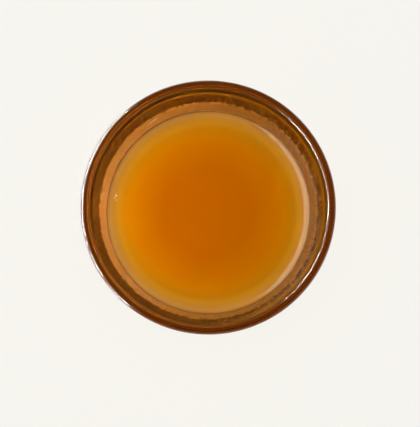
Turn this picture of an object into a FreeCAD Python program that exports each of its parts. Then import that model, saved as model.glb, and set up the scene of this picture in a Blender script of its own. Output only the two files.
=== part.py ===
"""A small handleless glass cup (finjan) with Arabic coffee in it.

Two pieces, both turned about the Z axis:
  cup     pressed glass: a tapering bowl with a rounded lip, a heavy base,
          a rounded heel and a shallow hollow under the foot
  coffee  the drink: it fills the bowl up to its level and climbs the glass
          a little all round, as a liquid that wets its cup does

Frame: +Z up, the origin in the middle of the foot, on the table. Millimetres.
"""

import FreeCAD, Part
import Sketcher
import math
import os

# name: (value in millimetres, what it is); a share is of the size it names
SIZES = {
    "cup_height": (50.0, "table to the top of the lip"),
    "lip_radius": (31.2, "outside of the bowl at the lip, before its rounding"),
    "lip_thickness": (2.15, "glass at the lip"),
    "lip_round_share": (0.48, "rounding of each side of the lip, as a share of lip_thickness"),
    "wall_curve": (190.0, "radius of the outside wall's long curve"),
    "bore_curve": (150.0, "radius of the inside wall's long curve"),
    "foot_radius": (18.4, "where the outside wall's curve meets the table"),
    "heel_round": (2.4, "rounding between the outside wall and the foot"),
    "base_thickness": (7.5, "table to the floor of the bowl"),
    "floor_inset": (4.2, "how much smaller than the foot the floor of the bowl is"),
    "floor_round": (9.0, "rounding between the inside wall and the floor"),
    "foot_ring": (4.9, "from the foot's edge in to the hollow under it"),
    "hollow_depth": (1.5, "depth of the hollow at its middle"),
    "hollow_edge_round": (0.6, "rounding of the hollow's edge"),
    "coffee_below_lip": (16.6, "lip down to the flat middle of the coffee"),
    "meniscus_rise": (1.6, "how far the coffee climbs the glass"),
    "meniscus_curve": (6.5, "radius of the coffee's curved edge"),
    "cut_over": (5.0, "how far the cutting outlines reach past the glass"),
}

# name: (how it follows from the sizes above, what it is)
DERIVED = {
    "lip_bore": ("=lip_radius - lip_thickness", "inside of the bowl at the lip, before its rounding"),
    "lip_round": ("=lip_thickness * lip_round_share", "rounding of each side of the lip"),
    "floor_radius": ("=foot_radius - floor_inset", "where the inside wall's curve meets the floor"),
    "hollow_radius": ("=foot_radius - foot_ring", "edge of the hollow under the foot"),
    "cut_top": ("=cup_height + cut_over", "top of the bowl's cutting outline"),
    "coffee_level": ("=cup_height - coffee_below_lip", "flat middle of the coffee"),
    "coffee_edge": ("=coffee_level + meniscus_rise", "top of the coffee on the glass"),
}

START, END, CENTRE = 1, 2, 3  # the points of a line or an arc
ORIGIN = (-1, 1)  # the sketch's own origin point
TABLE = -1  # the sketch's own level axis
AXIS = -2  # the sketch's own upright axis


def make_sheet(doc):
    """The spreadsheet that drives every sketch and feature."""
    sheet = doc.addObject("Spreadsheet::Sheet", "sizes")
    rows = {name: (str(value), note) for name, (value, note) in SIZES.items()} | DERIVED
    for row, (name, (content, note)) in enumerate(rows.items(), start=1):
        sheet.set(f"A{row}", name)
        sheet.set(f"B{row}", content)
        sheet.set(f"C{row}", note)
        sheet.setAlias(f"B{row}", name)
    doc.recompute()
    return sheet


def point(radius, height):
    return FreeCAD.Vector(radius, height, 0)


def arc(centre, radius, first, last):
    """The anticlockwise arc about centre from the point first to the point last."""
    angles = [math.atan2(p.y - centre.y, p.x - centre.x) for p in (first, last)]
    circle = Part.Circle(centre, FreeCAD.Vector(0, 0, 1), radius)
    return Part.ArcOfCircle(circle, *angles)


def bulge_centre(low, high, radius):
    """Centre of the circle through two points of a wall that bulges outward."""
    chord = high - low
    inward = point(-chord.y, chord.x).normalize()
    return (low + high) / 2 + inward * math.sqrt(radius**2 - (chord.Length / 2) ** 2)


class Outline:
    """A sketch on a body's XZ plane: its X is the radius, its Y the height."""

    def __init__(self, body, name, sheet):
        self.sheet = sheet
        self.sketch = body.newObject("Sketcher::SketchObject", name)
        plane = next(f for f in body.Origin.OriginFeatures if f.Role == "XZ_Plane")
        self.sketch.AttachmentSupport = [(plane, "")]
        self.sketch.MapMode = "FlatFace"

    def line(self, first, last):
        return self.sketch.addGeometry(Part.LineSegment(first, last), False)

    def arc(self, centre, radius, first, last):
        return self.sketch.addGeometry(arc(centre, radius, first, last), False)

    def mark(self, place):
        """A construction point."""
        return self.sketch.addGeometry(Part.Point(place), True)

    def rule(self, kind, *what):
        return self.sketch.addConstraint(Sketcher.Constraint(kind, *what))

    def hold(self, kind, *what, by):
        """A dimension whose value is the sheet's cell of that name."""
        number = self.rule(kind, *what, float(self.sheet.get(by)))
        self.sketch.setExpression(f"Constraints[{number}]", f"sizes.{by}")

    def place(self, geometry, end, radius=None, height=None):
        """Holds a point at a radius and a height, each named in the sheet."""
        if radius:
            self.hold("DistanceX", *ORIGIN, geometry, end, by=radius)
        if height:
            self.hold("DistanceY", *ORIGIN, geometry, end, by=height)

    def polyline(self, *places):
        """Joined lines through the places; gives their numbers."""
        lines = [self.line(a, b) for a, b in zip(places, places[1:])]
        for before, after in zip(lines, lines[1:]):
            self.rule("Coincident", before, END, after, START)
        return lines


def turn(body, kind, name, outline):
    """Turns an outline a full circle about Z: a Revolution adds, a Groove cuts."""
    feature = body.newObject(f"PartDesign::{kind}", name)
    feature.Profile = outline.sketch
    feature.ReferenceAxis = (outline.sketch, ["V_Axis"])
    feature.Angle = 360
    return feature


def round_rings(body, name, base, rings, by):
    """Rounds the circular edges of base that lie at the given (radius, height)."""
    body.Document.recompute()
    found = [
        f"Edge{number}"
        for number, edge in enumerate(base.Shape.Edges, start=1)
        if not edge.Degenerated  # the dome of the hollow has one, at its pole
        and isinstance(edge.Curve, Part.Circle)
        and any(
            abs(edge.Curve.Radius - radius) < 1e-4
            and abs(edge.Curve.Center.z - height) < 1e-4
            for radius, height in rings
        )
    ]
    if len(found) != len(rings):
        raise RuntimeError(f"{name}: {len(found)} edges found for {len(rings)} rings")
    fillet = body.newObject("PartDesign::Fillet", name)
    fillet.Base = (base, found)
    fillet.setExpression("Radius", f"sizes.{by}")
    return fillet


def draw_bowl_inside(outline, top):
    """The bowl's floor, its round and its wall up to the height named top.

    The wall is one arc. It runs through two construction points: the bore at
    the lip, and the corner it would make with the floor if there were no round.
    Gives the numbers of the floor line and the wall arc, and the wall's top.
    """
    get = outline.sheet.get
    floor, radius, round_ = (get(n) for n in ("base_thickness", "bore_curve", "floor_round"))
    lip = point(get("lip_bore"), get("cup_height"))
    corner = point(get("floor_radius"), floor)
    wall_centre = bulge_centre(corner, lip, radius)

    across = math.sqrt((radius - round_) ** 2 - (floor + round_ - wall_centre.y) ** 2)
    round_centre = point(wall_centre.x + across, floor + round_)
    round_start = point(round_centre.x, floor)
    outward = (round_centre - wall_centre).normalize()
    wall_start = round_centre + outward * round_
    height = get(top)
    wall_end = point(wall_centre.x + math.sqrt(radius**2 - (height - wall_centre.y) ** 2), height)

    floor_line = outline.line(point(0, floor), round_start)
    floor_arc = outline.arc(round_centre, round_, round_start, wall_start)
    wall_arc = outline.arc(wall_centre, radius, wall_start, wall_end)
    lip_mark, corner_mark = outline.mark(lip), outline.mark(corner)

    outline.rule("PointOnObject", floor_line, START, AXIS)
    outline.rule("Horizontal", floor_line)
    outline.place(floor_line, START, height="base_thickness")
    outline.rule("Tangent", floor_line, END, floor_arc, START)
    outline.rule("Tangent", floor_arc, END, wall_arc, START)
    outline.hold("Radius", floor_arc, by="floor_round")
    outline.hold("Radius", wall_arc, by="bore_curve")
    outline.place(lip_mark, START, radius="lip_bore", height="cup_height")
    outline.place(corner_mark, START, radius="floor_radius", height="base_thickness")
    outline.rule("PointOnObject", lip_mark, START, wall_arc)
    outline.rule("PointOnObject", corner_mark, START, wall_arc)
    outline.place(wall_arc, END, height=top)
    return floor_line, wall_arc, wall_end


def draw_cup_outside(outline):
    """Half of the cup's silhouette, from the table to the lip."""
    get = outline.sheet.get
    foot = point(get("foot_radius"), 0)
    lip = point(get("lip_radius"), get("cup_height"))
    centre = bulge_centre(foot, lip, get("wall_curve"))

    foot_line = outline.line(point(0, 0), foot)
    wall = outline.arc(centre, get("wall_curve"), foot, lip)
    top, axis = outline.polyline(lip, point(0, lip.y), point(0, 0))

    outline.rule("Coincident", foot_line, START, *ORIGIN)
    outline.rule("Horizontal", foot_line)
    outline.rule("Coincident", foot_line, END, wall, START)
    outline.rule("Coincident", wall, END, top, START)
    outline.rule("Horizontal", top)
    outline.rule("PointOnObject", top, END, AXIS)
    outline.rule("Coincident", axis, END, *ORIGIN)
    outline.place(foot_line, END, radius="foot_radius")
    outline.place(wall, END, radius="lip_radius", height="cup_height")
    outline.hold("Radius", wall, by="wall_curve")


def draw_bowl_cut(outline):
    """The inside of the bowl, carried straight up past the lip."""
    get = outline.sheet.get
    floor_line, wall, lip = draw_bowl_inside(outline, top="cup_height")
    above, top, axis = outline.polyline(
        lip,
        point(lip.x, get("cut_top")),
        point(0, get("cut_top")),
        point(0, get("base_thickness")),
    )
    outline.rule("Coincident", wall, END, above, START)
    outline.rule("Vertical", above)
    outline.rule("Horizontal", top)
    outline.rule("PointOnObject", top, END, AXIS)
    outline.rule("Coincident", axis, END, floor_line, START)
    outline.place(above, END, height="cut_top")


def draw_hollow_cut(outline):
    """The shallow dome under the foot, carried straight down past the table."""
    get = outline.sheet.get
    reach, depth, below = (get(n) for n in ("hollow_radius", "hollow_depth", "cut_over"))
    dome_radius = (reach**2 + depth**2) / (2 * depth)
    dome_centre = point(0, depth - dome_radius)

    dome = outline.arc(dome_centre, dome_radius, point(reach, 0), point(0, depth))
    axis, bottom, side = outline.polyline(
        point(0, depth), point(0, -below), point(reach, -below), point(reach, 0)
    )
    outline.rule("PointOnObject", dome, CENTRE, AXIS)
    outline.rule("PointOnObject", dome, END, AXIS)
    outline.rule("Coincident", dome, END, axis, START)
    outline.rule("Vertical", axis)
    outline.rule("Horizontal", bottom)
    outline.rule("Vertical", side)
    outline.rule("Coincident", side, END, dome, START)
    outline.rule("PointOnObject", dome, START, TABLE)
    outline.place(dome, END, height="hollow_depth")
    outline.place(side, END, radius="hollow_radius")
    outline.hold("Distance", side, by="cut_over")


def draw_coffee(outline):
    """The drink: the bowl's own inside below, the surface with its rim above."""
    get = outline.sheet.get
    floor_line, wall, edge = draw_bowl_inside(outline, top="coffee_edge")
    level, rise, curve = (get(n) for n in ("coffee_level", "meniscus_rise", "meniscus_curve"))
    flat_radius = edge.x - math.sqrt(2 * curve * rise - rise**2)

    rim = outline.arc(point(flat_radius, level + curve), curve, point(flat_radius, level), edge)
    surface, axis = outline.polyline(
        point(flat_radius, level), point(0, level), point(0, get("base_thickness"))
    )
    outline.rule("Coincident", rim, END, wall, END)
    outline.rule("Tangent", rim, START, surface, START)
    outline.rule("Horizontal", surface)
    outline.rule("PointOnObject", surface, END, AXIS)
    outline.rule("Coincident", axis, END, floor_line, START)
    outline.place(surface, END, height="coffee_level")
    outline.hold("Radius", rim, by="meniscus_curve")


def make_cup(doc, sheet):
    get = sheet.get
    body = doc.addObject("PartDesign::Body", "cup")
    body.Label = "cup"

    outside = Outline(body, "cup_outside", sheet)
    draw_cup_outside(outside)
    turn(body, "Revolution", "blank", outside)

    inside = Outline(body, "bowl_inside", sheet)
    draw_bowl_cut(inside)
    bowl = turn(body, "Groove", "bowl", inside)

    lip_rings = [(get(radius), get("cup_height")) for radius in ("lip_radius", "lip_bore")]
    lip = round_rings(body, "lip_rounding", bowl, lip_rings, by="lip_round")

    heel = round_rings(body, "heel_rounding", lip, [(get("foot_radius"), 0)], by="heel_round")

    under = Outline(body, "hollow_outline", sheet)
    draw_hollow_cut(under)
    hollow = turn(body, "Groove", "foot_hollow", under)
    hollow_ring = [(get("hollow_radius"), 0)]
    round_rings(body, "hollow_rounding", hollow, hollow_ring, by="hollow_edge_round")
    return body


def make_coffee(doc, sheet):
    body = doc.addObject("PartDesign::Body", "coffee")
    body.Label = "coffee"
    outline = Outline(body, "coffee_outline", sheet)
    draw_coffee(outline)
    turn(body, "Revolution", "drink", outline)
    return body


def check(doc, bodies):
    """Stops the build if a feature or a solid has gone wrong."""
    for thing in doc.Objects:
        if {"Invalid", "Error"} & set(thing.State):
            raise RuntimeError(f"{thing.Name}: {thing.State}")
    for body in bodies:
        shape = body.Shape
        if shape.isNull() or not shape.isValid() or len(shape.Solids) != 1:
            raise RuntimeError(f"{body.Label}: not one valid solid")


def main():
    doc = FreeCAD.newDocument("arabic_coffee")
    sheet = make_sheet(doc)
    bodies = [make_cup(doc, sheet), make_coffee(doc, sheet)]
    for body in bodies:
        body.Placement = FreeCAD.Placement()
    doc.recompute()
    check(doc, bodies)

    os.makedirs("parts", exist_ok=True)
    for body in bodies:
        body.Shape.exportStep(f"parts/{body.Label}.step")
        box = body.Shape.optimalBoundingBox(True, False)
        print(
            f"{body.Label}: {body.Shape.Volume / 1000:.2f} ml,"
            f" {box.XLength:.2f} x {box.YLength:.2f} x {box.ZLength:.2f} mm,"
            f" from {box.ZMin:.2f} up"
        )


main()
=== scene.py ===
"""Arabic coffee in a small amber glass cup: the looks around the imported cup.

Metres, +Z up. The cup stands on z = 0 with its axis on the Z axis. Sizes below
are in millimetres, and MM turns them into metres where a piece is made.
"""

import math

import bpy
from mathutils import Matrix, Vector


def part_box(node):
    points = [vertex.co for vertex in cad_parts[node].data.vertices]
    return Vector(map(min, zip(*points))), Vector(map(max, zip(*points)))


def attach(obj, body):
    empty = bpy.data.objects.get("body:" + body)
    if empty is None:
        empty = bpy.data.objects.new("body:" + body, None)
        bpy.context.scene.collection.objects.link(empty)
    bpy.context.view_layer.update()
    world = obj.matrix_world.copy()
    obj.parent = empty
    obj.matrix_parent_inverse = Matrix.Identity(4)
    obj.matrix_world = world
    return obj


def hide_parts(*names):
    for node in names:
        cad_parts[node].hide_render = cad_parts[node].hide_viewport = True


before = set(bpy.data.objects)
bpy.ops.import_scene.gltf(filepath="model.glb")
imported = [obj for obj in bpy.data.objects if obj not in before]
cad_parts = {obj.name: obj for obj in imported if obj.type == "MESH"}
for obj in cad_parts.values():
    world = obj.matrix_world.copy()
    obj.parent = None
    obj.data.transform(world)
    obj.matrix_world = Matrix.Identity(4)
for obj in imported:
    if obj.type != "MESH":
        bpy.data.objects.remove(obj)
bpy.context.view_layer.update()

MM = 0.001

# ---- sizes -------------------------------------------------------------------

cup_low, cup_high = (Vector(corner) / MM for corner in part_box("cup"))
coffee_low, coffee_high = (Vector(corner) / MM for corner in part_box("coffee"))

CUP_HEIGHT = cup_high.z
FLOOR_HEIGHT = coffee_low.z
CONTACT_HEIGHT = coffee_high.z  # where the coffee's edge meets the glass

LIP_RADIUS = 31.2
LIP_THICKNESS = 2.15
LIP_ROUND_SHARE = 0.48  # of the thickness, for the round on each side of the lip
LIP_ROUND = LIP_ROUND_SHARE * LIP_THICKNESS
WALL_CURVE = 190.0
BORE_CURVE = 150.0
FOOT_RADIUS = 18.4
HEEL_ROUND = 2.4
FLOOR_RADIUS = 14.2
FLOOR_ROUND = 9.0
HOLLOW_RADIUS = 13.5
HOLLOW_DEPTH = 1.5

MENISCUS_RISE = 1.6
MENISCUS_CURVE = 6.5
MENISCUS_WIDTH = math.sqrt(2 * MENISCUS_CURVE * MENISCUS_RISE - MENISCUS_RISE**2)
COFFEE_LEVEL = CONTACT_HEIGHT - MENISCUS_RISE
COFFEE_INTO_WALL = 0.15  # so that no air gap shows between drink and glass

FILM_LOW, FILM_TOP = 37.0, 48.4  # the coated glass starts above the drink and ends below the lip
FILM_OFF_WALL = (0.05, 0.02)  # how far its two faces lie off the glass

BUBBLES = (  # (distance from the axis, azimuth, radius)
    (23.4, 169.5, 0.22),
    (23.7, 171.0, 0.16),
    (23.2, 172.3, 0.13),
)
BUBBLE_SUNK = 60.0  # degrees of its section that lie below its middle

# Straight pieces along each arc of an outline, then sides round the axis.
ROUND_STEPS = 16
HEEL_STEPS = 12
WALL_STEPS = 48
BORE_STEPS = 40
MENISCUS_STEPS = 24
DOME_STEPS = 12
FILM_ROWS = 12
CUP_SIDES = 256
FILM_SIDES = 720
BUBBLE_SIDES = 24

SAME_PLACE = 1e-4  # an outline's steps that are shorter than this are left out
WELD = 0.002  # joins a turned piece's seam and its points on the axis


# ---- outlines: lists of (radius, height) -------------------------------------


def arc(centre, radius, first, last, count):
    """Points on an arc about centre, between two angles in degrees."""
    angles = [math.radians(first + (last - first) * i / count) for i in range(count + 1)]
    return [(centre[0] + radius * math.cos(a), centre[1] + radius * math.sin(a)) for a in angles]


def bulge_centre(low, high, radius):
    """Centre of the circle through two points of a wall that bulges outward."""
    across, up = high[0] - low[0], high[1] - low[1]
    half = math.hypot(across, up) / 2
    back = math.sqrt(radius**2 - half**2) / (2 * half)
    return (low[0] + high[0]) / 2 - up * back, (low[1] + high[1]) / 2 + across * back


def heading(centre, place):
    """Angle in degrees of a place seen from an arc's centre."""
    return math.degrees(math.atan2(place[1] - centre[1], place[0] - centre[0]))


WALL_CENTRE = bulge_centre((FOOT_RADIUS, 0), (LIP_RADIUS, CUP_HEIGHT), WALL_CURVE)
BORE_CENTRE = bulge_centre(
    (FLOOR_RADIUS, FLOOR_HEIGHT), (LIP_RADIUS - LIP_THICKNESS, CUP_HEIGHT), BORE_CURVE
)


def bore_radius(height):
    """Inside radius of the glass wall at a height."""
    return BORE_CENTRE[0] + math.sqrt(BORE_CURVE**2 - (height - BORE_CENTRE[1]) ** 2)


def corner_centre(centre, reach, height):
    """Centre, at a height, of a small round that touches a long wall curve."""
    return centre[0] + math.sqrt(reach**2 - (height - centre[1]) ** 2), height


def bowl_inside(top, into_wall=0.0):
    """The bowl's floor, round and wall up to a height, grown into the glass."""
    curve, small = BORE_CURVE + into_wall, FLOOR_ROUND + into_wall
    floor_height = FLOOR_HEIGHT - into_wall
    corner = corner_centre(BORE_CENTRE, curve - small, floor_height + small)
    meet = heading(BORE_CENTRE, corner)
    last = heading(BORE_CENTRE, (bore_radius(top), top))
    return [
        (0.0, floor_height),
        *arc(corner, small, -90, meet, ROUND_STEPS),
        *arc(BORE_CENTRE, curve, meet, last, BORE_STEPS)[1:],
    ]


def cup_outline():
    """The section of the glass: the hollow, the outside, the lip and the inside."""
    dome = (HOLLOW_RADIUS**2 + HOLLOW_DEPTH**2) / (2 * HOLLOW_DEPTH)
    edge = math.degrees(math.acos(HOLLOW_RADIUS / dome))
    heel = corner_centre(WALL_CENTRE, WALL_CURVE - HEEL_ROUND, HEEL_ROUND)
    outer = corner_centre(WALL_CENTRE, WALL_CURVE - LIP_ROUND, CUP_HEIGHT - LIP_ROUND)
    inner = corner_centre(BORE_CENTRE, BORE_CURVE + LIP_ROUND, CUP_HEIGHT - LIP_ROUND)
    leave, arrive = heading(WALL_CENTRE, heel), heading(WALL_CENTRE, outer)
    turn = heading(BORE_CENTRE, inner)
    bore_top = inner[1] - LIP_ROUND * math.sin(math.radians(turn))
    return [
        *arc((0, HOLLOW_DEPTH - dome), dome, 90, edge, ROUND_STEPS),
        *arc(heel, HEEL_ROUND, -90, leave, HEEL_STEPS),
        *arc(WALL_CENTRE, WALL_CURVE, leave, arrive, WALL_STEPS)[1:],
        *arc(outer, LIP_ROUND, arrive, 90, ROUND_STEPS)[1:],
        *arc(inner, LIP_ROUND, 90, 180 + turn, ROUND_STEPS),
        *reversed(bowl_inside(bore_top)[:-1]),
    ]


def coffee_outline():
    """The drink: the bowl's inside, then the curved rim and the flat surface."""
    centre = bore_radius(CONTACT_HEIGHT) - MENISCUS_WIDTH, COFFEE_LEVEL + MENISCUS_CURVE
    climb = math.degrees(math.atan2(MENISCUS_WIDTH, MENISCUS_CURVE - MENISCUS_RISE))
    return [
        *bowl_inside(CONTACT_HEIGHT, COFFEE_INTO_WALL),
        *arc(centre, MENISCUS_CURVE, climb - 90, -90, MENISCUS_STEPS),
        (0.0, COFFEE_LEVEL),
    ]


def meniscus_height(radius):
    """Height of the drink's surface at a distance from the axis."""
    along = max(0.0, radius - (bore_radius(CONTACT_HEIGHT) - MENISCUS_WIDTH))
    return COFFEE_LEVEL + MENISCUS_CURVE - math.sqrt(MENISCUS_CURVE**2 - along**2)


def film_outline():
    """A closed thin ring just off the glass above the coffee."""
    rows = [FILM_LOW + (FILM_TOP - FILM_LOW) * i / FILM_ROWS for i in range(FILM_ROWS + 1)]
    inside = [(bore_radius(z) - FILM_OFF_WALL[0], z) for z in rows]
    outside = [(bore_radius(z) - FILM_OFF_WALL[1], z) for z in reversed(rows)]
    return [*inside, *outside, inside[0]]


def bubble_outline(size):
    """Half a bubble's section: a dome with a little of it below its middle, cut flat."""
    cut = -size * math.sin(math.radians(BUBBLE_SUNK))
    return [*arc((0, 0), size, 90, -BUBBLE_SUNK, DOME_STEPS), (0.0, cut)]


# ---- making pieces -----------------------------------------------------------


def turned(name, outline, sides):
    """A closed solid turned about Z from an outline."""
    bpy.ops.object.select_all(action="DESELECT")
    bpy.ops.mesh.primitive_plane_add(size=MM, location=(0, 0, 0))
    piece = bpy.context.object
    piece.name = piece.data.name = name
    bpy.ops.object.mode_set(mode="EDIT")
    bpy.ops.mesh.merge(type="CENTER")
    bpy.ops.transform.translate(value=Vector((outline[0][0], 0, outline[0][1])) * MM)
    for before, after in zip(outline, outline[1:]):
        step = Vector((after[0] - before[0], 0, after[1] - before[1])) * MM
        if step.length > SAME_PLACE * MM:
            bpy.ops.mesh.extrude_region_move(TRANSFORM_OT_translate={"value": step})
    bpy.ops.mesh.select_all(action="SELECT")
    bpy.ops.mesh.spin(steps=sides, angle=math.tau, center=(0, 0, 0), axis=(0, 0, 1))
    bpy.ops.mesh.select_all(action="SELECT")
    bpy.ops.mesh.remove_doubles(threshold=WELD * MM)
    bpy.ops.mesh.normals_make_consistent(inside=False)
    bpy.ops.object.mode_set(mode="OBJECT")
    bpy.ops.object.shade_smooth()
    return piece


# ---- material tools ----------------------------------------------------------


def linear(hex_colour):
    """An sRGB colour such as "#C8A070" as linear RGBA."""
    parts = [int(hex_colour[i : i + 2], 16) / 255 for i in (1, 3, 5)]
    parts = [p / 12.92 if p <= 0.04045 else ((p + 0.055) / 1.055) ** 2.4 for p in parts]
    return (*parts, 1.0)


def node(material, kind, inputs=None, **settings):
    """Adds a node. Inputs are values, or the nodes or outputs that they come from."""
    made = material.node_tree.nodes.new(f"ShaderNode{kind}")
    for name, value in settings.items():
        setattr(made, name, value)
    for name, value in (inputs or {}).items():
        if isinstance(value, bpy.types.Node):
            value = value.outputs[0]
        if isinstance(value, bpy.types.NodeSocket):
            material.node_tree.links.new(value, made.inputs[name])
        else:
            made.inputs[name].default_value = value
    return made


def new_material(name):
    """A material with no nodes yet."""
    material = bpy.data.materials.new(name)
    material.use_nodes = True
    material.node_tree.nodes.clear()
    return material


def place_on(material):
    """The place on the piece, in metres from its origin."""
    return node(material, "TexCoord").outputs["Object"]


def ramp(material, factor, stops):
    """A colour ramp with (position, colour) stops."""
    made = node(material, "ValToRGB", {"Fac": factor})
    elements = made.color_ramp.elements
    while len(elements) < len(stops):
        elements.new(1.0)
    for element, (position, colour) in zip(elements, stops):
        element.position, element.color = position, colour
    return made


def fade(material, value, start, end, first=0.0, last=1.0):
    """Goes from first to last while a value goes from start to end, and stays there."""
    limits = {"Value": value, "From Min": start, "From Max": end, "To Min": first, "To Max": last}
    return node(material, "MapRange", limits)


def maths(material, operation, first, second):
    """One step of arithmetic on two values."""
    return node(material, "Math", {0: first, 1: second}, operation=operation)


def radius_from_axis(material):
    """Distance from the Z axis, in metres."""
    flat = node(material, "Mapping", {"Vector": place_on(material), "Scale": (1, 1, 0)})
    return node(material, "VectorMath", {0: flat}, operation="LENGTH").outputs["Value"]


# ---- materials ---------------------------------------------------------------

GLASS_TINT = "#EEDC80"
GLASS_DENSITY = 200.0  # per metre
RIPPLE_LENGTH = 12.0  # size of the soft waves that pressing leaves in the glass
RIPPLE_FLATNESS = 3.0  # how much closer together they are up the wall than round it
RIPPLE_DEPTH = 0.03


def amber_glass():
    """Pressed soda-lime glass, tinted amber in the melt and fire-polished.

    The eye sees a clear smooth wall, faintly wavy from the mould, that is pale
    olive where it is thin and amber where the look through it is long. Lamps
    shine straight through, dimmed by the tint.
    """
    material = new_material("pressed amber soda-lime glass")
    squashed = node(
        material, "Mapping", {"Vector": place_on(material), "Scale": (1, 1, RIPPLE_FLATNESS)}
    )
    waves = node(
        material, "TexNoise", {"Vector": squashed, "Scale": 1 / (RIPPLE_LENGTH * MM), "Detail": 1.0}
    )
    ripple = node(material, "Bump", {"Height": waves, "Distance": RIPPLE_DEPTH * MM})
    glass = node(
        material,
        "BsdfPrincipled",
        {"Roughness": 0.0, "IOR": 1.52, "Transmission Weight": 1.0, "Normal": ripple},
    )
    clear = node(material, "BsdfTransparent")
    shadow = node(material, "LightPath").outputs["Is Shadow Ray"]
    surface = node(material, "MixShader", {0: shadow, 1: glass, 2: clear})
    tint = node(material, "VolumeAbsorption", {"Color": linear(GLASS_TINT), "Density": GLASS_DENSITY})
    node(material, "OutputMaterial", {"Surface": surface, "Volume": tint})
    return material


# The top gets paler towards the glass, partly for the shallower drink there and partly as painted
# light for what the wall lets in.
COFFEE_STOPS = (  # (distance from the axis, colour) of its top
    (0.0, "#B05E00"),
    (11.0, "#AE5E00"),
    (17.5, "#B26900"),
    (19.0, "#B26E01"),
    (21.3, "#AC7208"),
    (22.5, "#B07C18"),
    (23.7, "#AC7828"),
    (24.4, "#A87C30"),
    (25.0, "#A0722A"),
    # painted shade: a thin dark line painted where the drink meets the glass
    (25.3, "#6A3A12"),
)
# painted light: the side against the glass is paler than the top and palest low down, for light
# through the wall and up from the table
COFFEE_SIDE_PAINTED_LIGHT = ((14.0, "#F4CCA0"), (28.0, "#BC9078"))  # (height, colour) of its side
SIDE_BEYOND = (0.04, 0.1)  # how far into the wall the side's colour starts and is full
SIDE_BELOW = (0.3, 0.2)  # how far below the flat surface it is full and starts
COFFEE_GLOSS = 0.65  # the oils on top mirror more than clear water does
COFFEE_SCATTER = (1.0, 0.9, 0.7)  # shares of the length below for red, green and blue
COFFEE_SCATTER_LENGTH = (10.0, 0.6)  # well inside, and in the thin edge along the glass
COFFEE_SCATTER_EDGE = (19.0, 24.3)  # distances from the axis between which it shortens


def coffee_side(material):
    """1 on the drink's side, against the glass, where its painted light goes, and 0 on its top.

    The side is what lies beyond a straight line that leans as the wall does at
    the drink's edge, and all that lies below the flat surface.
    """
    edge = bore_radius(CONTACT_HEIGHT)
    slope = (edge - bore_radius(COFFEE_LEVEL)) / MENISCUS_RISE
    foot = edge - slope * CONTACT_HEIGHT
    height = node(material, "SeparateXYZ", {0: place_on(material)}).outputs["Z"]
    lean = maths(material, "MULTIPLY", height, slope)
    off_wall = maths(material, "SUBTRACT", radius_from_axis(material), lean)
    beyond = fade(material, off_wall, *((foot + past) * MM for past in SIDE_BEYOND))
    below = fade(material, height, *((COFFEE_LEVEL - under) * MM for under in SIDE_BELOW), 1.0, 0.0)
    return maths(material, "MAXIMUM", beyond, below)


def cloudy_coffee():
    """Lightly roasted Arabic coffee, brewed with cardamom and left cloudy.

    Fine grounds and oils make it a turbid golden brown that hides the cup's
    floor, with a wet gloss. Its top is paler towards the glass, partly for the
    shallower drink and partly as painted light, with a painted dark line of shade
    where it meets the glass; its side against the glass is painted light.
    """
    material = new_material("cloudy golden Arabic coffee")
    outermost = COFFEE_STOPS[-1][0]
    share = fade(material, radius_from_axis(material), 0.0, outermost * MM)
    # the top's colour, with its painted light towards the glass and its painted line of shade at the
    # edge
    seen_above = ramp(material, share, [(r / outermost, linear(c)) for r, c in COFFEE_STOPS])
    (low, low_colour), (high, high_colour) = COFFEE_SIDE_PAINTED_LIGHT
    height = node(material, "SeparateXYZ", {0: place_on(material)}).outputs["Z"]
    rising = fade(material, height, low * MM, high * MM)
    # painted light on the drink's side, paler lower down
    side_painted_light = node(
        material,
        "MixRGB",
        {"Fac": rising, "Color1": linear(low_colour), "Color2": linear(high_colour)},
    )
    colour = node(
        material,
        "MixRGB",
        {"Fac": coffee_side(material), "Color1": seen_above, "Color2": side_painted_light},
    )
    edges = (radius * MM for radius in COFFEE_SCATTER_EDGE)
    lengths = (length * MM for length in COFFEE_SCATTER_LENGTH)
    drink = node(
        material,
        "BsdfPrincipled",
        {
            "Base Color": colour,
            "Roughness": 0.02,
            "IOR": 1.45,
            "Specular IOR Level": COFFEE_GLOSS,
            "Subsurface Weight": 1.0,
            "Subsurface Radius": COFFEE_SCATTER,
            "Subsurface Scale": fade(material, radius_from_axis(material), *edges, *lengths),
        },
    )
    node(material, "OutputMaterial", {"Surface": drink})
    return material


FILM_COLOUR = "#3A1E08"
STREAK_WIDTH = 0.8
STREAK_LENGTH = 10.0  # in widths
STREAK_CONTRAST = (0.35, 0.65)  # of the noise: where a streak starts, and where it is full
# Shares of the light that each face of the film stops, between its streaks and in them.
# Painted shade: the left shares are higher than the right, so the film is thick and dark on the left,
# where the wall is less lit, and thin or clear on the right, where it is lit.
BAND_LEFT, BAND_RIGHT = (0.28, 0.54), (0.0, 0.3)
UPPER_LEFT, UPPER_RIGHT = (0.3, 0.55), (0.0, 0.02)
BELOW_BAND = (0.0, 0.04)
BAND_SIDES = (-25.0, 25.0)  # along X, where the band's left and right are reached
UPPER_SIDES = (-20.0, 6.0)  # the same for the film above the band
UPPER_TURN = 0.36  # how much Y counts beside X in that
BAND_EDGES = (40.3, 43.7)  # heights
BAND_TILT = 0.03  # how much higher the upper edge is for each mm along +Y
RAGGED = (0.9, 0.25)  # how far streaks push the lower and upper edge up and down
EDGE_BELOW = 0.2  # how far below an edge its change starts
EDGE_ABOVE = (0.2, 2.0)  # how far above the lower and upper edge it is complete


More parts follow.
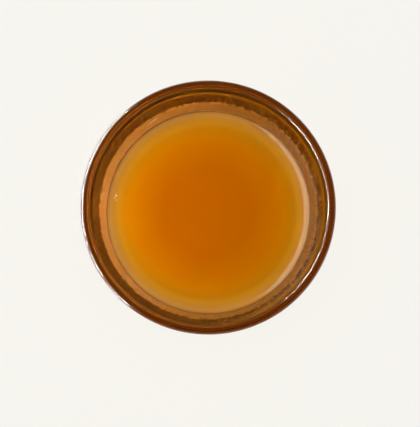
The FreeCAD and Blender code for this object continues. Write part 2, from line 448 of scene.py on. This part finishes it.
def coffee_film_with_painted_shade():
    """Coffee left on the glass above the drink, with painted shade in it.

    A thin brown film with runs in it, through which the wall looks dull and
    streaky. It coats a ragged band all round, more on the left, and above that
    only the left, nearly up to the lip. The film, its runs and its ragged edges
    are coffee residue; its being thick on the left and thin on the right is
    painted shade, darker where the wall gets less light.
    """
    material = new_material("thin brown coffee film with painted shade")
    place = place_on(material)
    split = node(material, "SeparateXYZ", {0: place}).outputs
    runs = node(material, "Mapping", {"Vector": place, "Scale": (1, 1, 1 / STREAK_LENGTH)})
    noise = {"Vector": runs, "Scale": 1 / (STREAK_WIDTH * MM), "Detail": 3.0}
    streaks = node(material, "TexNoise", noise)

    def streaky(between, inside):
        """A value that differs between and in the streaks."""
        return fade(material, streaks, *STREAK_CONTRAST, between, inside)

    def blend(factor, first, second):
        return node(material, "Mix", {0: factor, 2: first, 3: second})

    def above(edge, ragged, tilt, complete):
        """1 above a ragged edge of the band, 0 below it."""
        lean = maths(material, "MULTIPLY", split["Y"], tilt)
        height = maths(material, "SUBTRACT", split["Z"], lean)
        height = maths(material, "ADD", height, streaky(-ragged * MM, ragged * MM))
        return fade(material, height, (edge - EDGE_BELOW) * MM, (edge + complete) * MM)

    # painted shade: the band's film thins towards the lit right
    to_right = fade(material, split["X"], *(side * MM for side in BAND_SIDES))
    band = blend(to_right, streaky(*BAND_LEFT), streaky(*BAND_RIGHT))
    # painted shade: the film above the band fades out towards the lit right
    aside = maths(material, "MULTIPLY", split["Y"], UPPER_TURN)
    across = maths(material, "ADD", split["X"], aside)
    toward_lit_side = fade(material, across, *(side * MM for side in UPPER_SIDES))
    upper = blend(toward_lit_side, streaky(*UPPER_LEFT), streaky(*UPPER_RIGHT))
    in_band = above(BAND_EDGES[0], RAGGED[0], 0.0, EDGE_ABOVE[0])
    over_band = above(BAND_EDGES[1], RAGGED[1], BAND_TILT, EDGE_ABOVE[1])
    cover = blend(over_band, blend(in_band, streaky(*BELOW_BAND), band), upper)
    film = node(
        material,
        "BsdfPrincipled",
        {
            "Base Color": linear(FILM_COLOUR),
            "Roughness": 0.6,
            "Specular IOR Level": 0.0,
            "Alpha": cover,
        },
    )
    node(material, "OutputMaterial", {"Surface": film})
    return material


# pale gold: partly the froth's own colour and partly a painted glint
BUBBLE_FROTH_AND_GLINT = "#F6E2B4"


def coffee_froth():
    """Small bubbles that pouring leaves on coffee, held by its oils.

    Their pale gold is partly the froth's own colour and partly a painted glint,
    so they show as light specks, with a wet shine.
    """
    material = new_material("pale gold coffee froth with painted glint")
    froth = node(
        material,
        "BsdfPrincipled",
        {
            "Base Color": linear(BUBBLE_FROTH_AND_GLINT),
            "Roughness": 0.1,
            "IOR": 1.33,
            "Transmission Weight": 0.3,
        },
    )
    node(material, "OutputMaterial", {"Surface": froth})
    return material


FLOOR_COLOUR = "#F5F3ED"
FLOOR_GLOW = 0.95  # share of its own colour that the floor shows the camera whatever the light


def pale_floor():
    """Matt pale paper that shows its colour to the camera and keeps a soft shadow."""
    material = new_material("matt pale paper")
    path = node(material, "LightPath").outputs
    seen = path["Is Camera Ray"]
    for ray in ("Is Glossy Ray", "Is Transmission Ray"):
        seen = maths(material, "MAXIMUM", seen, path[ray])
    share = maths(material, "MULTIPLY", seen, FLOOR_GLOW)
    paper = node(material, "BsdfDiffuse", {"Color": linear(FLOOR_COLOUR)})
    glow = node(material, "Emission", {"Color": linear(FLOOR_COLOUR)})
    surface = node(material, "MixShader", {0: share, 1: paper, 2: glow})
    node(material, "OutputMaterial", {"Surface": surface})
    return material


# ---- the pieces --------------------------------------------------------------


def finish(piece, material, stands_for=None):
    """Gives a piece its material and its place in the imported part."""
    piece.data.materials.append(material)
    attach(piece, "root")
    if stands_for:
        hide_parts(stands_for)


cup = turned("glass_cup", cup_outline(), CUP_SIDES)
finish(cup, amber_glass(), stands_for="cup")

coffee = turned("coffee_drink", coffee_outline(), CUP_SIDES)
finish(coffee, cloudy_coffee(), stands_for="coffee")

film = turned("coffee_film_with_painted_shade", film_outline(), FILM_SIDES)
finish(film, coffee_film_with_painted_shade())

froth = coffee_froth()
for number, (radius_out, azimuth, size) in enumerate(BUBBLES, start=1):
    bubble = turned(f"bubble_{number}", bubble_outline(size), BUBBLE_SIDES)
    turn = math.radians(azimuth)
    spot = (radius_out * math.cos(turn), radius_out * math.sin(turn), meniscus_height(radius_out))
    bpy.ops.object.mode_set(mode="EDIT")
    bpy.ops.mesh.select_all(action="SELECT")
    bpy.ops.transform.translate(value=Vector(spot) * MM)
    bpy.ops.object.mode_set(mode="OBJECT")
    finish(bubble, froth)

# ---- studio: metres, degrees and watts ---------------------------------------

FLOOR_SIZE = 6.0

bpy.ops.object.select_all(action="DESELECT")
bpy.ops.mesh.primitive_plane_add(size=FLOOR_SIZE)
floor = bpy.context.object
floor.name = "floor"
floor.data.materials.append(pale_floor())

WINDOW_AZIMUTH = 177.5
WINDOW_ELEVATION = 23.0
WINDOW_POWER = 0.37
SILL_ELEVATION = 7.0
SILL_SIZE = (0.4, 0.016)
SILL_POWER = 2.6
FILL_AZIMUTH = 15.0
FILL_ELEVATION = 20.0
FILL_POWER = 0.25
SIDE_LAMP_DISTANCE = 0.16
SIDE_LAMP_SIZE = (0.41, 0.123)
TOP_ELEVATION = 90.0
TOP_DISTANCE = 0.8
TOP_SIZE = (0.4, 0.4)
TOP_POWER = 4.5
LIP_CENTRE = Vector((0, 0, CUP_HEIGHT * MM))


def soft_box(name, azimuth, elevation, distance, size, power):
    """A rectangular lamp that faces the middle of the lip."""
    light = bpy.data.lights.new(name, "AREA")
    light.shape = "RECTANGLE"
    light.size, light.size_y = size
    light.energy = power
    lamp = bpy.data.objects.new(name, light)
    bpy.context.collection.objects.link(lamp)
    turn, rise = math.radians(azimuth), math.radians(elevation)
    level = math.cos(rise)
    way = Vector((level * math.cos(turn), level * math.sin(turn), math.sin(rise)))
    lamp.location = LIP_CENTRE + way * distance
    lamp.rotation_euler = way.to_track_quat("Z", "Y").to_euler()
    lamp.visible_camera = False
    return lamp


soft_box(
    "window", WINDOW_AZIMUTH, WINDOW_ELEVATION, SIDE_LAMP_DISTANCE, SIDE_LAMP_SIZE, WINDOW_POWER
)
sill = soft_box("sill", WINDOW_AZIMUTH, SILL_ELEVATION, SIDE_LAMP_DISTANCE, SILL_SIZE, SILL_POWER)
fill = soft_box(
    "fill", FILL_AZIMUTH, FILL_ELEVATION, SIDE_LAMP_DISTANCE, SIDE_LAMP_SIZE, FILL_POWER
)
top = soft_box("top", WINDOW_AZIMUTH, TOP_ELEVATION, TOP_DISTANCE, TOP_SIZE, TOP_POWER)
sill.visible_diffuse = sill.visible_transmission = False  # only a glint on the shiny rim
fill.visible_glossy = top.visible_glossy = False  # light on the drink, no mirror image in it

SKY_GREY = 0.4
SKY_FADE = (0.2, 0.85)  # sines of the elevations between which it goes black


def studio_world():
    """A dim grey sky that is black overhead, and pale paper where the camera sees it."""
    world = bpy.data.worlds.new("studio")
    world.use_nodes = True
    world.node_tree.nodes.clear()
    way = node(world, "TexCoord").outputs["Generated"]
    up = node(world, "SeparateXYZ", {0: way}).outputs["Z"]
    greys = ((SKY_FADE[0], (SKY_GREY, SKY_GREY, SKY_GREY, 1.0)), (SKY_FADE[1], (0.0, 0.0, 0.0, 1.0)))
    sky = node(world, "Background", {"Color": ramp(world, up, greys)})
    backdrop = node(world, "Background", {"Color": linear(FLOOR_COLOUR)})
    seen = node(world, "LightPath").outputs["Is Camera Ray"]
    surface = node(world, "MixShader", {0: seen, 1: sky, 2: backdrop})
    node(world, "OutputWorld", {"Surface": surface})
    return world


bpy.context.scene.world = studio_world()

# ---- camera ------------------------------------------------------------------

CAMERA_ELEVATION = 84.8
CAMERA_DISTANCE = 0.6
CUP_SHARE = 0.60857  # of the frame's width that the cup fills
CUP_LEFT, CUP_UP = 0.00405, 0.01643  # how far it sits off the frame's middle, in the same shares
SENSOR = 36.0  # mm across

camera_data = bpy.data.cameras.new("camera")
camera = bpy.data.objects.new("camera", camera_data)
bpy.context.collection.objects.link(camera)
rise = math.radians(CAMERA_ELEVATION)
camera.location = LIP_CENTRE + Vector((0, -math.cos(rise), math.sin(rise))) * CAMERA_DISTANCE
camera.rotation_euler = (math.pi / 2 - rise, 0, 0)
cup_width = (cup_high.x - cup_low.x) * MM
camera_data.sensor_fit = "HORIZONTAL"
camera_data.sensor_width = SENSOR
camera_data.lens = SENSOR * CAMERA_DISTANCE * CUP_SHARE / cup_width
camera_data.shift_x, camera_data.shift_y = CUP_LEFT, -CUP_UP
bpy.context.scene.camera = camera
bpy.context.scene.view_settings.view_transform = "Standard"
